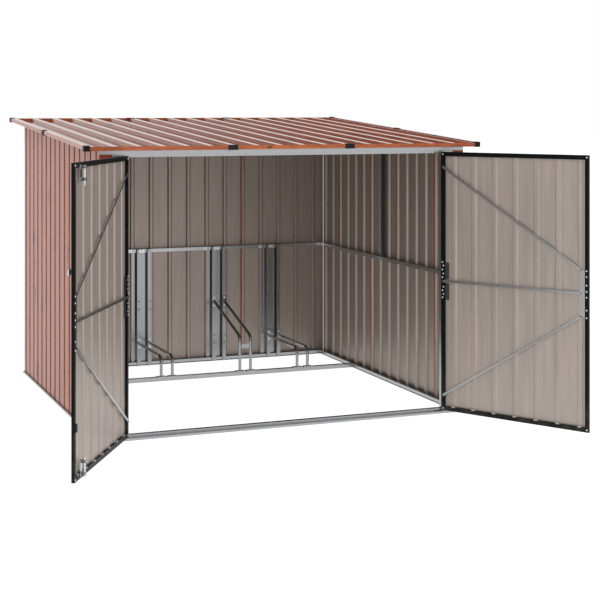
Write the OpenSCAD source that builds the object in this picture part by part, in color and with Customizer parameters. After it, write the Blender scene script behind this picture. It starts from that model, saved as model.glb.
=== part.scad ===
// Walk-in steel bike shelter with a mono-pitch roof, two hinged doors and four wheel racks.
// Millimetres. +Z up, +X to the right seen from the front, the doors face -Y.
// The origin is the middle of the base frame, on the ground.

/* [Base frame] */
// Width of the base frame, outside
base_w = 2200; // [2100:10:2300]
// Depth of the base frame, outside
base_d = 2175; // [2100:5:2250]
// Width of the stepped tracks at the sides and the back
track_w = 54; // [50:1:58]
// Height of the base frame's upper web
track_h = 26; // [24:1:30]
// Thickness of the folded steel sections
fold_t = 2.5; // [2:0.5:3]
// Radius of the anchor holes in the side tracks' feet
anchor_r = 5.5; // [4:0.5:7]
// Distance between the anchor holes, front to back
anchor_pitch = 1700; // [1400:10:1800]

/* [Walls] */
// Pitch of the ribs in every sheet
rib_pitch = 135; // [120:5:150]
// Depth of a rib in the wall sheets
rib_depth = 12; // [8:1:14]
// Thickness of the ribbed sheets
sheet_t = 2; // [1.5:0.5:3]
// Distance from the edge of the base frame to the wall sheets
wall_inset = 10; // [8:1:14]
// Height of the middle rails above the ground
mid_rail_z = 782; // [700:1:900]
// Height of the middle rails' section
mid_rail_h = 24; // [20:1:30]

/* [Roof] */
// Height of the roof trim's top edge at the front
roof_front_z = 1585; // [1580:1:1600]
// Height of the roof trim's top edge at the back
roof_back_z = 1717; // [1680:1:1760]
// Overhang of the roof past the base frame on each side
over_side = 80; // [60:5:100]
// Overhang of the roof past the sill
over_front = 32; // [25:1:50]
// Overhang of the roof past the back of the base frame
over_back = 26; // [20:1:50]
// Height of the trims at the roof's sides
trim_h = 21; // [18:1:24]

/* [Doors] */
// Angle that the doors stand open
door_open = 120; // [0:5:170]
// Width of one door leaf
leaf_w = 947; // [940:1:947]
// Thickness of a door leaf
leaf_t = 16; // [16:1:18]
// Height of a door leaf's bottom edge
leaf_bottom = 25; // [24:1:26]
// Height of a door leaf's top edge
leaf_top = 1531; // [1525:1:1531]
// Width of the door frame's upright members
stile_w = 22; // [18:1:30]
// Height of the door frame's level members
door_rail_h = 25; // [20:1:30]

/* [Racks] */
// Distance between the two tubes of a rack
tube_pitch = 75; // [70:1:85]
// Radius of the rack tubes
tube_r = 10; // [8:0.5:12]
// Distance of the inner racks from the middle of the shelter
rack_inner_x = 272; // [250:1:300]
// Distance of the outer racks from the middle of the shelter
rack_outer_x = 682; // [640:1:720]
// Height at which the low racks' tubes leave the back wall
low_rack_z = 158; // [140:1:180]
// Height at which the high racks' tubes leave the back wall
high_rack_z = 420; // [380:1:460]

/* [Hidden] */

half_w = base_w / 2;
front = -base_d / 2;
back = base_d / 2;
tiny = 0.5;

// Front plane of the shelter, behind the sill's front edge
face_y = front + 5;

// Wall sheets: outer planes and the plane of the ribs' inner faces
wall_x = half_w - wall_inset;
wall_y = back - wall_inset;
lining = rib_depth + sheet_t;
lined_x = wall_x - lining;
lined_y = wall_y - lining;
rib_foot = 33;
rib_crest = 17;
side_rib_first = 69.5;
back_rib_first = 82;
return_w = 69;
// Distance from the edge of the base frame to the middle rails' inner faces
rail_inset = 45;

// Base frame: an outer lip, a ledge that the sheets stand on, and a step up to the upper web
step_z = 12.5;
sill_d = 60;
track_foot = 50;
track_flange_z = 7.5;
mitre_gap = 0.3;
foot_z = step_z + tiny;
anchor_x = half_w - 40;
anchor_access_r = 9;

// Roof plane: height of the trim's top edge above a place y
roof_y0 = front - over_front;
roof_y1 = back + over_back;
roof_run = roof_y1 - roof_y0;
roof_rise = (roof_back_z - roof_front_z) / roof_run;
roof_angle = atan(roof_rise);
roof_half_w = half_w + over_side;
function roof_z(y) = roof_front_z + (y - roof_y0) * roof_rise;
sheet_drop = 23.5;
roof_rib_h = 18;
roof_rib_first = 30;
roof_rib_foot = 54;
roof_rib_crest = 34;
// Drop from the trim's top edge to the steel that carries the sheet
carry_drop = sheet_drop + 1;
top_rail_h = 30;
purlin_w = 34;
purlin_h = 28;
trim_t = 2;
trim_lap = 22;
// The front and back trims stand lower than the side trims
end_trim_drop = 3;
end_trim_h = 23;
clip_len = 56;
clip_gap = 1.5;
clip_reach = 20;
corner_clip_len = 30;

// Doorway rebate
post_x = half_w - 145;
stop_y = face_y + leaf_t + 8.5;
header_z = 1538;
header_lip_z = 1522;
header_d = stop_y + fold_t - face_y;
post_return = 40;

// Door hinges and leaves, drawn closed and turned about the hinge axis
leaf_x0 = half_w - 150;
hinge_x = half_w - 147;
hinge_y = front - 1;
knuckle_r = 5;
hinge_pin_r = 2.5;
hinge_pin_play = 0.08;
hinge_h = 88;
hinge_z = [253, 1226];
hinge_plate_w = 30;
leaf_y0 = face_y;
leaf_y1 = face_y + leaf_t;
panel_rib_first = 60;
panel_rib_foot = 35;
panel_rib_crest = 22;
panel_rib_depth = 6;
panel_crest_y = leaf_y0 + panel_rib_depth + sheet_t;
brace_w = 14;
brace_t = 2.5;
brace_mid_z = (leaf_bottom + leaf_top) / 2;
brace_spread = 127;
brace_end_gap = 86;
brace_x0 = 10;
brace_x1 = leaf_w - 48;
strip_x0 = brace_x1 - 8;
side_plate_w = 25;
side_plate_h = 95;
side_plate_gap = 13;
knob_inset = 40;
knob_z = 1012;

// Drop bolts on the left leaf
bolt_r = 5;
bolt_play = 0.5;
bolt_x = -leaf_x0 + 850;
bolt_y = leaf_y1 + 19;
bolt_len = 96;
bolt_top_z = header_lip_z - 5;
bolt_bottom_z = track_h + 5;
bolt_hole_r = 6.5;

// Racks
rack_post_w = 26;
rack_post_foot = 44;
rack_post_edge = 83;
rack_post_near = (tube_pitch + rack_post_foot) / 2 + 2;
rack_web_t = 2.6;
rack_post_y = back - 62;
rack_post_top = mid_rail_z + mid_rail_h;
rack_plate_t = 4;
rack_plate_h = 80;
rack_foot_w = 62;
rack_leg_y = back - 620;
rack_rail_w = 36;
rack_rail_h = 26;
rack_bend_r = 46;
rack_hole_r = 4.5;
rack_hole_gap = 54;
high_bend_z = 258;
tie_z = 176;
tie_h = 31;

function reversed(list) = [for (i = [len(list) - 1 : -1 : 0]) list[i]];

// Centre line of a ribbed sheet seen on its end: flat pans with ribs that stand up by depth
function rib_line(run, first, count, foot, crest, depth) = concat(
    [[0, 0]],
    [for (k = [0 : count - 1], p = [[-foot, 0], [-crest, depth], [crest, depth], [foot, 0]])
        [first + k * rib_pitch + p[0] / 2, p[1]]],
    [[run, 0]]);

function rib_count(run, first, foot) = floor((run - first - foot / 2 - tiny) / rib_pitch) + 1;

// Outline of a ribbed sheet, one sheet thick
module rib_section(run, first, foot, crest, depth, thick) {
    line = rib_line(run, first, rib_count(run, first, foot), foot, crest, depth);
    polygon(concat(line, reversed([for (p = line) p + [0, thick]])));
}

// A folded steel section: straight runs of sheet between the points, square at the folds
module folded(points, thick) {
    for (i = [0 : len(points) - 2]) {
        a = points[i];
        b = points[i + 1];
        translate([min(a[0], b[0]), min(a[1], b[1])])
            square([abs(b[0] - a[0]) + thick, abs(b[1] - a[1]) + thick]);
    }
}

// Extrude an outline drawn in (y, z) along x
module along_x(x0, x1) {
    translate([x0, 0, 0]) rotate([90, 0, 90]) linear_extrude(x1 - x0) children();
}

// Extrude an outline drawn in (x, z) along y
module along_y(y0, y1) {
    translate([0, y1, 0]) rotate([90, 0, 0]) linear_extrude(y1 - y0) children();
}

// A bar that follows the roof's slope from y0 to y1, between two depths below the trim's top edge
module sloped_bar(x0, x1, y0, y1, drop_top, drop_bottom) {
    along_x(x0, x1)
        polygon([
            [y0, roof_z(y0) - drop_bottom],
            [y1, roof_z(y1) - drop_bottom],
            [y1, roof_z(y1) - drop_top],
            [y0, roof_z(y0) - drop_top]
        ]);
}

// Everything below the steel that carries the roof sheet
module under_roof() {
    intersection() {
        children();
        sloped_bar(-half_w, half_w, front, back, carry_drop, roof_back_z);
    }
}

module mirrored(side) {
    if (side > 0) children();
    else mirror([1, 0, 0]) children();
}

// ---- Base frame ----

// Cut both ends of a track at 45 degrees; drawn from the edge of the frame inward along +y
module mitred(half_len) {
    reach = 100;
    x = half_len - mitre_gap;
    intersection() {
        children();
        linear_extrude(track_h)
            polygon([[-x, 0], [x, 0], [x - reach, reach], [-x + reach, reach]]);
    }
}

// Stepped track for a side or the back, drawn from the edge of the frame inward along +y
module base_track(half_len) {
    riser = wall_inset + lining + tiny;
    mitred(half_len)
        along_x(-half_len, half_len)
            folded([[track_foot, 0], [0, 0], [0, step_z - fold_t], [riser, step_z - fold_t],
                [riser, track_h - fold_t], [track_w - fold_t, track_h - fold_t],
                [track_w - fold_t, track_flange_z]], fold_t);
}

module front_sill() {
    rise = stop_y - front;
    color("lightgray")
    difference() {
        translate([0, front, 0])
            mitred(half_w)
                along_x(-half_w, half_w)
                    folded([[0, 0], [0, step_z - fold_t], [rise, step_z - fold_t], [rise, track_h - fold_t],
                        [sill_d - fold_t, track_h - fold_t], [sill_d - fold_t, 0]], fold_t);
        translate([bolt_x, bolt_y, track_h - 2 * fold_t])
            cylinder(h = 3 * fold_t, r = bolt_hole_r, $fn = 48);
    }
}

// The anchors' holes are in the foot, under wider holes in the upper web that let a socket through
module side_track(side) {
    color("lightgray")
    mirrored(side)
    difference() {
        translate([half_w, 0, 0]) rotate(90) base_track(back);
        for (y = [-anchor_pitch / 2, anchor_pitch / 2])
            translate([anchor_x, y, 0]) {
                translate([0, 0, -1]) cylinder(h = fold_t + 2, r = anchor_r, $fn = 48);
                translate([0, 0, track_h - 2 * fold_t])
                    cylinder(h = 3 * fold_t, r = anchor_access_r, $fn = 48);
            }
    }
}

module back_base_track() {
    color("lightgray")
    translate([0, back, 0]) rotate(180) base_track(half_w);
}

module rack_floor_rail() {
    edge = rack_leg_y - rack_rail_w / 2;
    color("lightgray")
    along_x(-half_w + track_w, half_w - track_w)
        folded([[edge, 0], [edge, rack_rail_h - fold_t], [edge + rack_rail_w - fold_t, rack_rail_h - fold_t],
            [edge + rack_rail_w - fold_t, 0]], fold_t);
}

// ---- Walls ----

module side_wall(side) {
    y0 = face_y + 2 * fold_t;
    run = wall_y - y0;
    color("peru")
    mirrored(side)
    under_roof()
        translate([wall_x, y0, foot_z])
            linear_extrude(roof_back_z)
                rotate(90) rib_section(run, side_rib_first, rib_foot, rib_crest, rib_depth, sheet_t);
}

module back_wall() {
    run = 2 * (lined_x + lining - sheet_t) - 2 * sheet_t;
    height = roof_z(lined_y) - carry_drop - foot_z;
    color("peru")
    translate([run / 2, wall_y, foot_z])
        linear_extrude(height)
            rotate(180) rib_section(run, back_rib_first, rib_foot, rib_crest, rib_depth, sheet_t);
}

module front_return(side) {
    color("brown")
    mirrored(side)
    translate([wall_x - return_w, face_y, step_z])
        cube([return_w, fold_t, header_z - step_z]);
}

// ---- Frame above the base ----

// Hinge post: a channel whose web stands in the front plane, between the return and the leaf
module hinge_post(side) {
    outer = wall_x - return_w - tiny;
    color("silver")
    mirrored(side)
    difference() {
        translate([0, 0, step_z])
            linear_extrude(header_z - step_z)
                folded([[outer - fold_t, face_y + post_return], [outer - fold_t, face_y], [post_x, face_y],
                    [post_x, face_y + post_return]], fold_t);
        translate([post_x - 1, stop_y - tiny, 0])
            cube([half_w, 100, track_h + tiny]);
    }
}

// Short posts from the middle rails up to the roof purlin's ends
module side_stub_posts() {
    depth = 16;
    z0 = mid_rail_z + mid_rail_h;
    z1 = roof_z(-purlin_w / 2) - carry_drop - top_rail_h - tiny;
    color("dimgray")
    for (side = [-1, 1])
        mirrored(side)
        translate([lined_x - depth - tiny, -purlin_w / 2, z0])
            cube([depth, purlin_w, z1 - z0]);
}

module side_mid_rail(side) {
    color("lightgray")
    mirrored(side)
    along_y(face_y + post_return + 2 * fold_t, lined_y - tiny)
        folded([[half_w - rail_inset, mid_rail_z + mid_rail_h - fold_t], [half_w - rail_inset, mid_rail_z],
            [lined_x - tiny - fold_t, mid_rail_z]], fold_t);
}

module back_mid_rail() {
    x1 = half_w - rail_inset - tiny;
    color("lightgray")
    along_x(-x1, x1)
        folded([[back - rail_inset, mid_rail_z + mid_rail_h - fold_t], [back - rail_inset, mid_rail_z],
            [lined_y - tiny - fold_t, mid_rail_z]], fold_t);
}

// Header: a channel across the front, with a lip behind the leaves as their stop
module door_header() {
    top = roof_z(face_y) - carry_drop;
    inner = lined_x - tiny;
    lip_x = post_x - tiny;
    color("silver") {
        translate([-wall_x, face_y, header_z])
            cube([2 * wall_x, fold_t, top - header_z]);
        along_x(-inner, inner)
            folded([[stop_y, top - fold_t], [face_y, top - fold_t], [face_y, header_z], [stop_y, header_z]],
                fold_t);
        translate([-lip_x, stop_y, header_lip_z])
            cube([2 * lip_x, fold_t, header_z + fold_t - header_lip_z]);
    }
}

module side_top_rail(side) {
    y0 = face_y + header_d + tiny;
    y1 = lined_y - tiny;
    x1 = lined_x - tiny;
    color("silver")
    mirrored(side) {
        sloped_bar(x1 - fold_t, x1, y0, y1, carry_drop, carry_drop + top_rail_h);
        sloped_bar(x1 - top_rail_h, x1, y0, y1, carry_drop, carry_drop + fold_t);
    }
}

module back_top_rail() {
    x1 = lined_x - top_rail_h - 2 * tiny;
    y1 = lined_y - tiny;
    top = roof_z(y1 - top_rail_h) - carry_drop;
    color("silver")
    along_x(-x1, x1)
        folded([[y1 - fold_t, top - top_rail_h], [y1 - fold_t, top - fold_t], [y1 - top_rail_h, top - fold_t]],
            fold_t);
}

// Purlin across the middle, hung under the side rails
module roof_purlin() {
    x1 = lined_x - fold_t - 2 * tiny;
    y1 = purlin_w / 2 - fold_t;
    top = roof_z(-purlin_w / 2) - carry_drop - 2 * fold_t;
    bottom = top - purlin_h + 2 * fold_t;
    color("silver")
    along_x(-x1, x1)
        folded([[-purlin_w / 2, bottom], [-purlin_w / 2, top], [y1, top], [y1, bottom]], fold_t);
}

// ---- Roof ----

// Place something drawn flat, x across and y up the slope, on the roof
module on_roof(drop) {
    translate([0, roof_y0, roof_front_z])
        rotate([roof_angle, 0, 0])
            translate([0, 0, -drop]) children();
}

roof_len = roof_run / cos(roof_angle);

module roof_sheet() {
    run = 2 * (roof_half_w - trim_t - 1);
    y0 = trim_t + 1;
    color("peru")
    on_roof(sheet_drop)
        along_y(y0, roof_len - y0)
            translate([-run / 2, 0])
                rib_section(run, roof_rib_first - trim_t, roof_rib_foot, roof_rib_crest, roof_rib_h, sheet_t);
}

// Side trim: a face outside the sheet with a lap turned in over the outermost rib
module side_trim(side) {
    color("tan")
    mirrored(side)
    on_roof(0)
        along_y(0, roof_len)
            translate([roof_half_w, 0]) mirror([1, 0])
                folded([[trim_lap, -trim_t], [0, -trim_t], [0, -trim_h]], trim_t);
}

// Front or back trim: a face outside the sheet with a lap turned in under it
module end_trim() {
    x1 = roof_half_w - trim_t - 1;
    bottom = -end_trim_drop - end_trim_h;
    along_x(-x1, x1)
        folded([[0, -end_trim_drop - trim_t], [0, bottom], [trim_lap, bottom]], trim_t);
}

module front_roof_trim() {
    color("sienna")
    on_roof(0) end_trim();
}

module back_roof_trim() {
    color("sienna")
    on_roof(0) translate([0, roof_len, 0]) rotate(180) end_trim();
}

// The clips' lower arms reach in under the sheet
clip_bottom = -end_trim_drop - end_trim_h - trim_t;

// One clip drawn at the origin, hooked over a trim whose face is the plane y = 0
module trim_clip(drop) {
    face = -clip_gap - trim_t;
    color("black")
    along_x(-clip_len / 2, clip_len / 2)
        folded([[clip_reach, -drop], [face, -drop], [face, clip_bottom], [clip_reach, clip_bottom]], trim_t);
}

// One clip drawn at the origin, hooked over the corner of two trims that run along +X and +Y
module corner_clip() {
    edge = -trim_t - clip_gap;
    size = corner_clip_len - edge;
    color("black")
    difference() {
        translate([edge, edge, clip_bottom])
            cube([size, size, trim_t - clip_bottom]);
        translate([-clip_gap, -clip_gap, clip_bottom + trim_t])
            cube([2 * size, 2 * size, -clip_bottom - trim_t]);
    }
}

module roof_trim_clips() {
    bay = 0.148 * 2 * roof_half_w;
    on_roof(0) {
        for (x = [-bay, bay]) {
            translate([x, 0, 0]) trim_clip(end_trim_drop);
            translate([x, roof_len, 0]) rotate(180) trim_clip(end_trim_drop);
        }
        for (side = [-1, 1]) {
            mirrored(-side) translate([-roof_half_w, roof_len / 2, 0]) rotate(-90) trim_clip(0);
            mirrored(-side) translate([-roof_half_w, 0, 0]) corner_clip();
            mirrored(-side) translate([-roof_half_w, roof_len, 0]) rotate(-90) corner_clip();
        }
    }
}

// ---- Racks ----

rack_x = [-rack_outer_x, -rack_inner_x, rack_inner_x, rack_outer_x];

// Outline of a pair of rack posts rolled in one strip: two hat-shaped posts between a narrow and a wide foot
function hat(x, foot, face, low, high) =
    [[x - foot, low], [x - face, high], [x + face, high], [x + foot, low]];

function post_side(foot, face, low, high) = concat(
    [[-rack_post_near, low]],
    hat(-tube_pitch / 2, foot, face, low, high),
    hat(tube_pitch / 2, foot, face, low, high),
    [[rack_post_edge, low]]);

module rack_post_pair() {
    foot = rack_post_foot / 2;
    face = rack_post_w / 2;
    depth = lined_y - tiny - rack_post_y;
    front_side = post_side(foot, face, fold_t, depth);
    back_side = post_side(foot - rack_web_t, face - rack_web_t, 0, depth - fold_t);
    difference() {
        translate([0, lined_y - tiny, 0])
            linear_extrude(rack_post_top)
                rotate(180) polygon(concat(front_side, reversed(back_side)));
        for (cut = [[track_w, -1, track_h + 1], [rail_inset, mid_rail_z - 1, rack_post_top + 1]])
            translate([-rack_outer_x, back - cut[0] - tiny, cut[1]])
                cube([2 * rack_outer_x, cut[0], cut[2] - cut[1]]);
        for (x = [-tube_pitch / 2, tube_pitch / 2], z = [low_rack_z, high_rack_z],
            dz = [-rack_hole_gap / 2, rack_hole_gap / 2])
            translate([x, rack_post_y - 1, z + dz])
                rotate([-90, 0, 0]) cylinder(h = fold_t + 2, r = rack_hole_r, $fn = 32);
    }
}

module rack_posts() {
    color("lightgray")
    for (x = rack_x)
        translate([x, 0, 0]) rack_post_pair();
}

// One tube: out from the post, round a bend, down to a foot on the floor rail
module rack_tube(wall_z, bend_z) {
    y_wall = rack_post_y - rack_plate_t;
    fall = atan2(wall_z - bend_z, y_wall - rack_leg_y);
    turn = 90 - fall;
    tangent = rack_bend_r * tan(turn / 2);
    slope_len = (y_wall - rack_leg_y) / cos(fall) - tangent;
    foot = rack_rail_h + rack_plate_t;
    difference() {
        translate([0, rack_leg_y + rack_bend_r, bend_z - tangent])
            rotate([90, 0, -90]) {
                rotate_extrude(angle = turn, $fn = 64)
                    translate([rack_bend_r, 0]) circle(r = tube_r, $fn = 48);
                translate([rack_bend_r, 0, 0])
                    rotate([90, 0, 0]) cylinder(h = bend_z - tangent - foot, r = tube_r, $fn = 48);
                rotate(turn)
                    translate([rack_bend_r, 0, 0])
                        rotate([-90, 0, 0]) cylinder(h = slope_len + tube_r, r = tube_r, $fn = 48);
            }
        translate([-track_w, y_wall, 0])
            cube([2 * track_w, 2 * track_w, 2 * wall_z]);
    }
    translate([-rack_post_w / 2, y_wall, wall_z - rack_plate_h / 2])
        cube([rack_post_w, rack_plate_t, rack_plate_h]);
    translate([-rack_foot_w / 2, rack_leg_y - rack_rail_w / 2, rack_rail_h])
        cube([rack_foot_w, rack_rail_w, rack_plate_t]);
}

module rack(x, wall_z, bend_z, tied) {
    color("silver")
    translate([x, 0, 0]) {
        for (side = [-1, 1])
            translate([side * tube_pitch / 2, 0, 0]) rack_tube(wall_z, bend_z);
        if (tied)
            translate([-tube_pitch / 2, rack_leg_y - rack_plate_t / 2, tie_z])
                cube([tube_pitch, rack_plate_t, tie_h]);
    }
}

// ---- Doors ----

// Draw a leaf closed on the left, x from its hinge edge, then turn it open on its own side
module hung(side, angle = door_open) {
    mirrored(-side)
        translate([-hinge_x, hinge_y, 0])
            rotate(-angle)
                translate([hinge_x - leaf_x0, -hinge_y, 0]) children();
}

module door_frame(side) {
    height = leaf_top - leaf_bottom;
    color("black")
    hung(side)
    difference() {
        translate([0, leaf_y0, leaf_bottom])
            cube([leaf_w, leaf_t, height]);
        translate([stile_w, leaf_y0 - 1, leaf_bottom + door_rail_h])
            cube([leaf_w - 2 * stile_w, leaf_t + 2, height - 2 * door_rail_h]);
    }
}

module door_panel(side) {
    run = leaf_w - 2 * stile_w;
    height = leaf_top - leaf_bottom - 2 * door_rail_h;
    color("rosybrown")
    hung(side)
    translate([stile_w, leaf_y0, leaf_bottom + door_rail_h])
        linear_extrude(height)
            rib_section(run, panel_rib_first, panel_rib_foot, panel_rib_crest, panel_rib_depth, sheet_t);
}

// A flat brace from the hinge stile's face at height z0 to the strip on the last rib at height z1
module brace(z0, z1) {
    run = brace_x1 - brace_x0;
    start = leaf_y1 + tiny / 2;
    drop = start - panel_crest_y - brace_t;
    slope = norm([run, z1 - z0]);
    translate([brace_x0, start, z0])
        rotate([0, -atan2(z1 - z0, run), 0])
            rotate(-atan2(drop, slope))
                translate([0, 0, -brace_w / 2])
                    cube([norm([slope, drop]), brace_t, brace_w]);
}

// Three braces and the strip that ties their ends together beside the latch stile
module door_braces(side) {
    color("silver")
    hung(side) {
        brace(brace_mid_z, brace_mid_z);
        brace(leaf_top - brace_end_gap, brace_mid_z + brace_spread);
        brace(leaf_bottom + brace_end_gap, brace_mid_z - brace_spread);
        translate([strip_x0, panel_crest_y, brace_mid_z - brace_spread])
            cube([leaf_w - stile_w - strip_x0, brace_t - tiny, 2 * brace_spread]);
    }
}

// One knuckle of a hinge with the plate it is rolled from; x0 is the plate's far edge
module hinge_knuckle(z0, z1, x0) {
    translate([-hinge_x, hinge_y, z0])
        cylinder(h = z1 - z0, r = knuckle_r, $fn = 48);
    translate([min(x0, -hinge_x), leaf_y0 - fold_t, z0])
        cube([abs(x0 + hinge_x), fold_t, z1 - z0]);
}

// Post halves of the hinges, with the pins
module post_hinge_leaves() {
    third = hinge_h / 3;
    color("darkslategray")
    for (side = [-1, 1], z = hinge_z)
        mirrored(-side) {
            for (z0 = [z, z + 2 * third])
                hinge_knuckle(z0, z0 + third, -hinge_x - hinge_plate_w);
            translate([-hinge_x - hinge_plate_w, leaf_y0 - fold_t, z])
                cube([hinge_plate_w - knuckle_r - 2, fold_t, hinge_h]);
            translate([-hinge_x, hinge_y, z])
                cylinder(h = hinge_h, r = hinge_pin_r, $fn = 48);
        }
}

// Leaf halves of the hinges, a pull knob outside and two stiffening plates beside the hinge stile
module door_fittings(side) {
    third = hinge_h / 3;
    play = 1;
    color("dimgray")
    hung(side)
    translate([leaf_x0, 0, 0]) {
        for (z = hinge_z)
            difference() {
                union() {
                    hinge_knuckle(z + third + play, z + 2 * third - play, -hinge_x + hinge_plate_w);
                    translate([-hinge_x + knuckle_r + 2, leaf_y0 - fold_t, z])
                        cube([hinge_plate_w - knuckle_r - 2, fold_t, hinge_h]);
                }
                translate([-hinge_x, hinge_y, z])
                    cylinder(h = hinge_h, r = hinge_pin_r + hinge_pin_play, $fn = 48);
            }
        translate([leaf_w - knob_inset - leaf_x0, leaf_y0, knob_z])
            rotate([90, 0, 0]) {
                cylinder(h = 4, r = 20, $fn = 48);
                cylinder(h = 20, r = 8, $fn = 48);
                translate([0, 0, 18]) cylinder(h = 10, r = 17, $fn = 48);
            }
        for (z = [brace_mid_z + side_plate_gap, brace_mid_z - side_plate_gap - side_plate_h])
            translate([stile_w - leaf_x0, leaf_y0 + panel_rib_depth, z])
                cube([side_plate_w, fold_t, side_plate_h]);
    }
}

// Two guides for each drop bolt, on plates fixed to the leaf's inner face
module left_bolt_guides() {
    plate_w = 36;
    plate_h = 80;
    guide_h = 14;
    x = bolt_x + leaf_x0;
    color("silver")
    hung(-1)
    for (z0 = [leaf_bottom + 12, leaf_top - 12 - plate_h]) {
        translate([x - plate_w / 2, leaf_y1, z0])
            cube([plate_w, fold_t, plate_h]);
        for (z = [z0 + 4, z0 + plate_h - 4 - guide_h])
            difference() {
                translate([x - 9, leaf_y1, z])
                    cube([18, bolt_y - leaf_y1 + 9, guide_h]);
                translate([x, bolt_y, z - 1])
                    cylinder(h = guide_h + 2, r = bolt_r + bolt_play, $fn = 48);
            }
    }
}

module drop_bolt(z0) {
    x = bolt_x + leaf_x0;
    color("gainsboro")
    hung(-1)
    translate([x, bolt_y, z0])
        cylinder(h = bolt_len, r = bolt_r, $fn = 48);
}

front_sill();
side_track(-1);  // left_base_track
side_track(1);  // right_base_track
back_base_track();
rack_floor_rail();
side_wall(-1);  // left_wall
side_wall(1);  // right_wall
back_wall();
front_return(-1);  // front_left_return
front_return(1);  // front_right_return
hinge_post(-1);  // left_hinge_post
hinge_post(1);  // right_hinge_post
side_stub_posts();
side_mid_rail(-1);  // left_mid_rail
side_mid_rail(1);  // right_mid_rail
back_mid_rail();
door_header();
side_top_rail(-1);  // left_top_rail
side_top_rail(1);  // right_top_rail
back_top_rail();
roof_purlin();
roof_sheet();
front_roof_trim();
back_roof_trim();
side_trim(-1);  // left_roof_trim
side_trim(1);  // right_roof_trim
roof_trim_clips();
rack_posts();
rack(rack_x[0], high_rack_z, high_bend_z, true);  // outer_left_rack
rack(rack_x[1], low_rack_z, low_rack_z, false);  // inner_left_rack
rack(rack_x[2], high_rack_z, high_bend_z, true);  // inner_right_rack
rack(rack_x[3], low_rack_z, low_rack_z, false);  // outer_right_rack
post_hinge_leaves();
door_frame(-1);  // left_door_frame
door_panel(-1);  // left_door_panel
door_braces(-1);  // left_door_braces
door_fittings(-1);  // left_door_fittings
left_bolt_guides();
drop_bolt(bolt_top_z - bolt_len);  // top_drop_bolt
drop_bolt(bolt_bottom_z);  // bottom_drop_bolt
door_frame(1);  // right_door_frame
door_panel(1);  // right_door_panel
door_braces(1);  // right_door_braces
door_fittings(1);  // right_door_fittings
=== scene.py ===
"""Looks of a walk-in steel bike shelter: wood-look ribbed sheets on a zinc frame, two braced doors, wheel racks.

Sizes are in millimetres and turn to metres when a piece is placed. The doors face -Y and +Z is up.
"""

import logging
import math
from dataclasses import dataclass, field
from enum import Enum
from typing import Callable

import bmesh
import bpy
from mathutils import Matrix, Vector


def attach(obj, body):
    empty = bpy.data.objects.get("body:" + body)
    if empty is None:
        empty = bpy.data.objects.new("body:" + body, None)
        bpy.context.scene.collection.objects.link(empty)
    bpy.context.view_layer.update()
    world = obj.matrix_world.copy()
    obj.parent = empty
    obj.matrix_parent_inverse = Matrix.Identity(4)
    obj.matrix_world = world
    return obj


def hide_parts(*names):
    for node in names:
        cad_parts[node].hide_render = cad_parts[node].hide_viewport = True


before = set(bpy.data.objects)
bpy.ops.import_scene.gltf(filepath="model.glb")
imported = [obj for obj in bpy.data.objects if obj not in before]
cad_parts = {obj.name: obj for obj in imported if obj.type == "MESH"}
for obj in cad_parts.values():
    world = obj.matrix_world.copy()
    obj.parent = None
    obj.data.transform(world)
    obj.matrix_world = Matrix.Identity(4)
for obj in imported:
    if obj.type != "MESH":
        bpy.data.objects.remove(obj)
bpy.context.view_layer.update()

logging.basicConfig(level=logging.INFO, format="%(message)s")
log = logging.getLogger("bike_shelter")

MM = 0.001
SMOOTH_BELOW = math.radians(35)
BEVEL_ABOVE = math.radians(40)
FLAT = Matrix.Identity(4)
Line = list[Vector]
Point = Vector | tuple[float, float, float]
Colour = tuple[float, float, float]
Socket = bpy.types.NodeSocket
Value = Socket | float
Ink = Socket | tuple[float, ...]


@dataclass(frozen=True)
class ShelterSizes:
    """Main sizes of the shelter, the same as the construction model's."""

    face_y: float = -1082.5
    wall_x: float = 1090.0
    wall_y: float = 1077.5
    sheet: float = 2.0
    rib_pitch: float = 135.0
    roof_front_y: float = -1119.5
    roof_back_y: float = 1113.5
    roof_front_z: float = 1585.0
    roof_back_z: float = 1717.0
    roof_half_width: float = 1180.0
    leaf_width: float = 947.0
    leaf_thick: float = 16.0
    leaf_bottom: float = 25.0
    leaf_top: float = 1531.0
    stile: float = 22.0
    rail: float = 25.0
    leaf_edge_x: float = 950.0
    hinge_x: float = 953.0
    hinge_y: float = -1088.5
    door_open: float = 120.0
    rack_face_y: float = 1025.5

    @property
    def roof_rise(self) -> float:
        """Rise of the roof for each unit of depth."""
        return (self.roof_back_z - self.roof_front_z) / (self.roof_back_y - self.roof_front_y)

    @property
    def roof_angle(self) -> float:
        """Slope of the roof in radians."""
        return math.atan(self.roof_rise)

    @property
    def roof_length(self) -> float:
        """Length of the roof along its slope."""
        return (self.roof_back_y - self.roof_front_y) / math.cos(self.roof_angle)

    def roof_z(self, y: float) -> float:
        """Height of the roof trim's top edge at depth y."""
        return self.roof_front_z + (y - self.roof_front_y) * self.roof_rise


SIZES = ShelterSizes()


class Side(Enum):
    """Left or right, as the sign of X."""

    LEFT = -1
    RIGHT = 1


class Run(Enum):
    """The axis that a strip's folds run along."""

    ALONG_Y = "y"
    ALONG_Z = "z"

    @property
    def matrix(self) -> Matrix:
        """Turns (across, up, along) into the shelter's axes.

        Returns:
            The turning matrix.
        """
        if self is Run.ALONG_Z:
            return Matrix.Identity(4)
        return Matrix(((1, 0, 0, 0), (0, 0, 1, 0), (0, 1, 0, 0), (0, 0, 0, 1)))


class Skin(Enum):
    """Material slots of a coated sheet: its outer face, its inner face and its cut edge."""

    OUTER = 0
    INNER = 1
    CUT = 2


# ---- Shaping tools ----


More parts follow.
